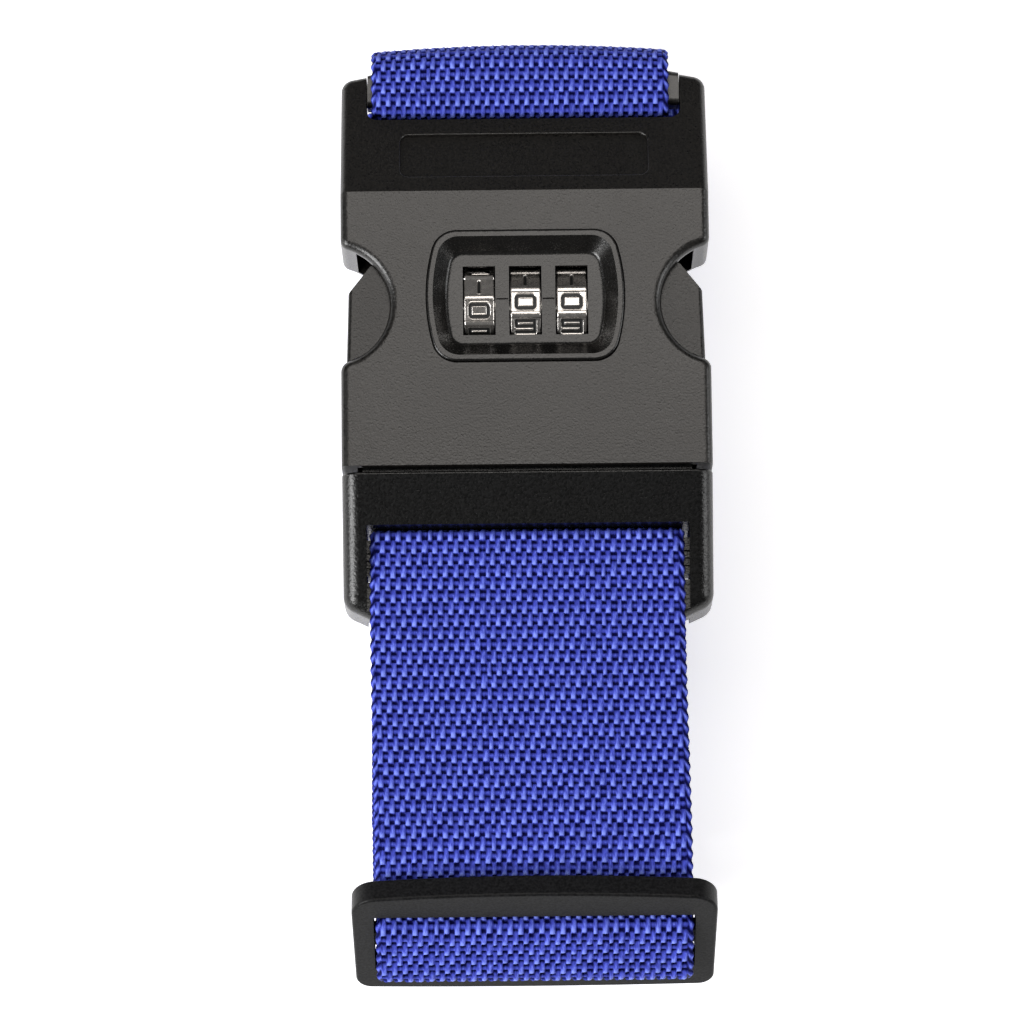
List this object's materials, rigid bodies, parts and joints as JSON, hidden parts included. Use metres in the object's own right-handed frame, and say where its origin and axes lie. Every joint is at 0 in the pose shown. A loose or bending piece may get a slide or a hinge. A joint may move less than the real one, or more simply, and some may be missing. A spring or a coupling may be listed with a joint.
{
  "type": "luggage strap",
  "caption": "Folded webbing luggage strap held by a side-release buckle with a combination lock and a sliding adjuster.",
  "frame": {"origin": "centre of the bounding box's base, on the surface that the folded strap rests on", "axes": "+Y from the slider towards the housing's web bar, +Z out of the dials, +X across the webbing"},
  "size_m": [0.059, 0.152, 0.041],
  "materials": {
    "webbing": "woven polypropylene webbing",
    "thread": "polyester sewing thread",
    "housing_plastic": "fine matt grain",
    "plug_plastic": "satin with fine grain",
    "arm_plastic": "fine matt grain",
    "bezel_plastic": "satin",
    "slider_plastic": "satin",
    "bar_plastic": "satin",
    "inner_plastic": "natural",
    "dial_metal": "bright plated zinc with black filled digits",
    "steel": "bright"
  },
  "bodies": {
    "strap": {"strap_hank": "webbing", "bottom_turn": "webbing", "front_leg": "webbing", "rear_leg": "webbing", "sewn_end": "webbing", "end_stitching": "thread", "plug_wrap": "webbing", "plug_frame": "plug_plastic"},
    "left_arm": {"left_arm": "arm_plastic"},
    "right_arm": {"right_arm": "arm_plastic"},
    "housing": {"front_shell": "housing_plastic", "back_shell": "housing_plastic", "web_bar": "bar_plastic", "housing_screws": "steel", "dial_bezel": "bezel_plastic", "dial_axle": "steel", "detent_spring": "steel", "lock_bar": "inner_plastic", "lock_spring": "steel", "reset_spring": "steel", "housing_wrap": "webbing", "back_layer": "webbing", "housing_tail": "webbing", "tail_stitching": "thread"},
    "dial_1": {"dial_1": "dial_metal", "dial_sleeve_1": "inner_plastic"},
    "dial_2": {"dial_2": "dial_metal", "dial_sleeve_2": "inner_plastic"},
    "dial_3": {"dial_3": "dial_metal", "dial_sleeve_3": "inner_plastic"},
    "reset": {"reset_lever": "inner_plastic"},
    "slider": {"slider_frame": "slider_plastic", "slider_wave": "webbing", "end_loop": "webbing"}
  },
  "joints": [
    {"name": "housing_slide", "type": "slide", "parent": "strap", "child": "housing", "axis": [0, 1, 0], "range_m": [0, 0.0355], "deforming": ["left_arm", "right_arm"]},
    {"name": "left_arm_press", "type": "hinge", "parent": "strap", "child": "left_arm", "pos_m": [-0.02455, 0.0067, 0.0329], "axis": [0, 0, -1], "range_deg": [0, 9.5], "stiffness_Nm_per_rad": 0.5},
    {"name": "right_arm_press", "type": "hinge", "parent": "strap", "child": "right_arm", "pos_m": [0.02455, 0.0067, 0.0329], "axis": [0, 0, 1], "range_deg": [0, 9.5], "stiffness_Nm_per_rad": 0.5},
    {"name": "dial_1_turn", "type": "hinge", "parent": "housing", "child": "dial_1", "pos_m": [-0.0074, 0.031, 0.0334], "axis": [1, 0, 0], "continuous": true},
    {"name": "dial_2_turn", "type": "hinge", "parent": "housing", "child": "dial_2", "pos_m": [0, 0.031, 0.0334], "axis": [1, 0, 0], "continuous": true},
    {"name": "dial_3_turn", "type": "hinge", "parent": "housing", "child": "dial_3", "pos_m": [0.0074, 0.031, 0.0334], "axis": [1, 0, 0], "continuous": true},
    {"name": "reset_push", "type": "slide", "parent": "housing", "child": "reset", "axis": [1, 0, 0], "range_m": [0, 0.0018], "stiffness_N_per_m": 300, "deforming": ["reset_spring"]},
    {"name": "slider_travel", "type": "hinge", "parent": "strap", "child": "slider", "pos_m": [0, -0.0524, 0.018], "axis": [-1, 0, 0], "range_deg": [0, 58], "deforming": ["front_leg", "rear_leg", "sewn_end", "end_stitching", "bottom_turn"]}
  ]
}
